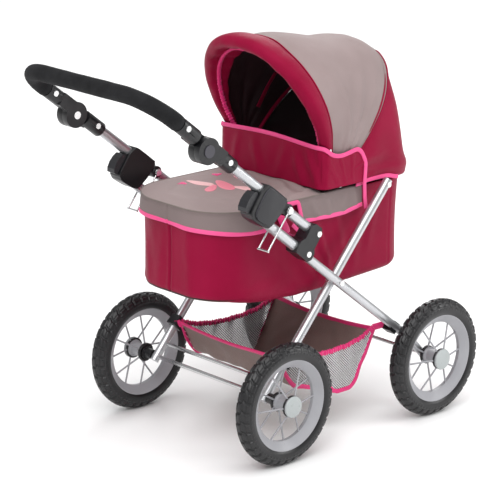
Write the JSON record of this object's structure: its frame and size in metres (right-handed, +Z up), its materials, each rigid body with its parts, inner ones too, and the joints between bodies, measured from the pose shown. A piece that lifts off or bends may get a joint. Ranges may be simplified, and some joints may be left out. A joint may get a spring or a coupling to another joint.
{
  "type": "doll stroller",
  "caption": "Folding doll stroller: scissor frame on four spoked wheels, height-adjustable push handle, padded carrycot with apron, folding hood and storage basket.",
  "frame": {"origin": "on the floor below the middle of the stroller's bounding box", "axes": "+Z up, +X forward towards the hood end, +Y to the left"},
  "size_m": [0.6926, 0.3808, 0.63],
  "materials": {
    "tyre": "moulded matte",
    "wheel_plastic": "satin moulded",
    "cap_plastic": "satin moulded",
    "bright_steel": "bright zinc",
    "silver_paint": "silver powder coat",
    "black_plastic": "fine moulded grain",
    "grey_plastic": "satin",
    "foam": "closed-cell foam",
    "burgundy_satin": "satin polyester",
    "taupe_fabric": "woven polyester",
    "basket_fabric": "woven polyester with mesh sides",
    "pink_trim": "bias binding",
    "mesh": "open mesh",
    "hardboard": "plain",
    "mattress_cotton": "cotton"
  },
  "bodies": {
    "chassis": {"front_axle": "bright_steel", "front_washers": "black_plastic", "front_leg_left": "silver_paint", "front_leg_right": "silver_paint", "latch_tubes": "silver_paint", "hinge_tubes": "silver_paint", "bracket_left": "black_plastic", "bracket_right": "black_plastic", "hinge_knuckles": "black_plastic", "hinge_pins": "bright_steel", "pivot_pins": "bright_steel", "frame_rivets": "bright_steel", "front_clamps": "black_plastic", "carrycot_frame": "silver_paint", "base_board": "hardboard", "mattress": "mattress_cotton", "carrycot_bag": "burgundy_satin", "apron": "taupe_fabric", "windscreen_flap": "burgundy_satin", "hood_canopy": "taupe_fabric", "hood_back": "burgundy_satin", "hood_rear_bow": "bright_steel", "basket": "basket_fabric"},
    "rear_frame": {"rear_axle": "bright_steel", "cross_rod": "bright_steel", "rear_leg_left": "silver_paint", "rear_leg_right": "silver_paint", "rear_spacers": "black_plastic", "rear_clamps": "black_plastic", "rear_rivets": "bright_steel"},
    "pusher": {"pusher_tubes": "silver_paint", "latch_housing_left": "black_plastic", "latch_housing_right": "black_plastic", "lower_connectors": "black_plastic", "handle_rivets": "bright_steel"},
    "grip": {"upper_connectors": "black_plastic", "grip_tube": "silver_paint", "foam_grip": "foam", "grip_rivets": "bright_steel"},
    "hood": {"hood_rim": "burgundy_satin", "hood_bow": "bright_steel"},
    "lever_left": {"latch_lever_left": "grey_plastic"},
    "lever_right": {"latch_lever_right": "grey_plastic"},
    "button_left": {"adjust_button_left": "grey_plastic"},
    "button_right": {"adjust_button_right": "grey_plastic"},
    "bail_left": {"bail_left": "bright_steel"},
    "bail_right": {"bail_right": "bright_steel"},
    "wheel_front_left": {"tyre_front_left": "tyre", "rim_front_left": "wheel_plastic", "hub_cap_front_left": "cap_plastic"},
    "wheel_front_right": {"tyre_front_right": "tyre", "rim_front_right": "wheel_plastic", "hub_cap_front_right": "cap_plastic"},
    "wheel_rear_left": {"tyre_rear_left": "tyre", "rim_rear_left": "wheel_plastic", "hub_cap_rear_left": "cap_plastic"},
    "wheel_rear_right": {"tyre_rear_right": "tyre", "rim_rear_right": "wheel_plastic", "hub_cap_rear_right": "cap_plastic"}
  },
  "joints": [
    {"name": "rear_fold", "type": "hinge", "parent": "chassis", "child": "rear_frame", "pos_m": [0.055, 0, 0.2545], "axis": [0, -1, 0], "range_deg": [0, 42]},
    {"name": "handle_fold", "type": "hinge", "parent": "chassis", "child": "pusher", "pos_m": [-0.07, 0, 0.395], "axis": [0, 1, 0], "range_deg": [0, 95]},
    {"name": "grip_tilt", "type": "hinge", "parent": "pusher", "child": "grip", "pos_m": [-0.23294, 0, 0.51203], "axis": [0, -1, 0], "range_deg": [-30, 50]},
    {"name": "hood_fold", "type": "hinge", "parent": "chassis", "child": "hood", "pos_m": [0.08, 0, 0.402], "axis": [0, 1, 0], "range_deg": [0, 54]},
    {"name": "wheel_front_left_spin", "type": "hinge", "parent": "chassis", "child": "wheel_front_left", "pos_m": [0.2503, 0.1678, 0.096], "axis": [0, 1, 0], "continuous": true},
    {"name": "wheel_front_right_spin", "type": "hinge", "parent": "chassis", "child": "wheel_front_right", "pos_m": [0.2503, -0.1678, 0.096], "axis": [0, 1, 0], "continuous": true},
    {"name": "wheel_rear_left_spin", "type": "hinge", "parent": "rear_frame", "child": "wheel_rear_left", "pos_m": [-0.0823, 0.1678, 0.096], "axis": [0, 1, 0], "continuous": true},
    {"name": "wheel_rear_right_spin", "type": "hinge", "parent": "rear_frame", "child": "wheel_rear_right", "pos_m": [-0.0823, -0.1678, 0.096], "axis": [0, 1, 0], "continuous": true},
    {"name": "lever_left_pull", "type": "slide", "parent": "pusher", "child": "lever_left", "axis": [-0.7923, 0, 0.6101], "range_m": [0, 0.006], "stiffness_N_per_m": 500, "springref_m": -0.002},
    {"name": "button_left_press", "type": "slide", "parent": "pusher", "child": "button_left", "axis": [0, -1, 0], "range_m": [0, 0.003], "stiffness_N_per_m": 400, "springref_m": -0.002},
    {"name": "bail_left_swing", "type": "hinge", "parent": "chassis", "child": "bail_left", "pos_m": [-0.07, 0.1485, 0.395], "axis": [0, 1, 0], "range_deg": [-35, 8]},
    {"name": "lever_right_pull", "type": "slide", "parent": "pusher", "child": "lever_right", "axis": [-0.7923, 0, 0.6101], "range_m": [0, 0.006], "stiffness_N_per_m": 500, "springref_m": -0.002},
    {"name": "button_right_press", "type": "slide", "parent": "pusher", "child": "button_right", "axis": [0, 1, 0], "range_m": [0, 0.003], "stiffness_N_per_m": 400, "springref_m": -0.002},
    {"name": "bail_right_swing", "type": "hinge", "parent": "chassis", "child": "bail_right", "pos_m": [-0.07, -0.1485, 0.395], "axis": [0, 1, 0], "range_deg": [-35, 8]}
  ]
}
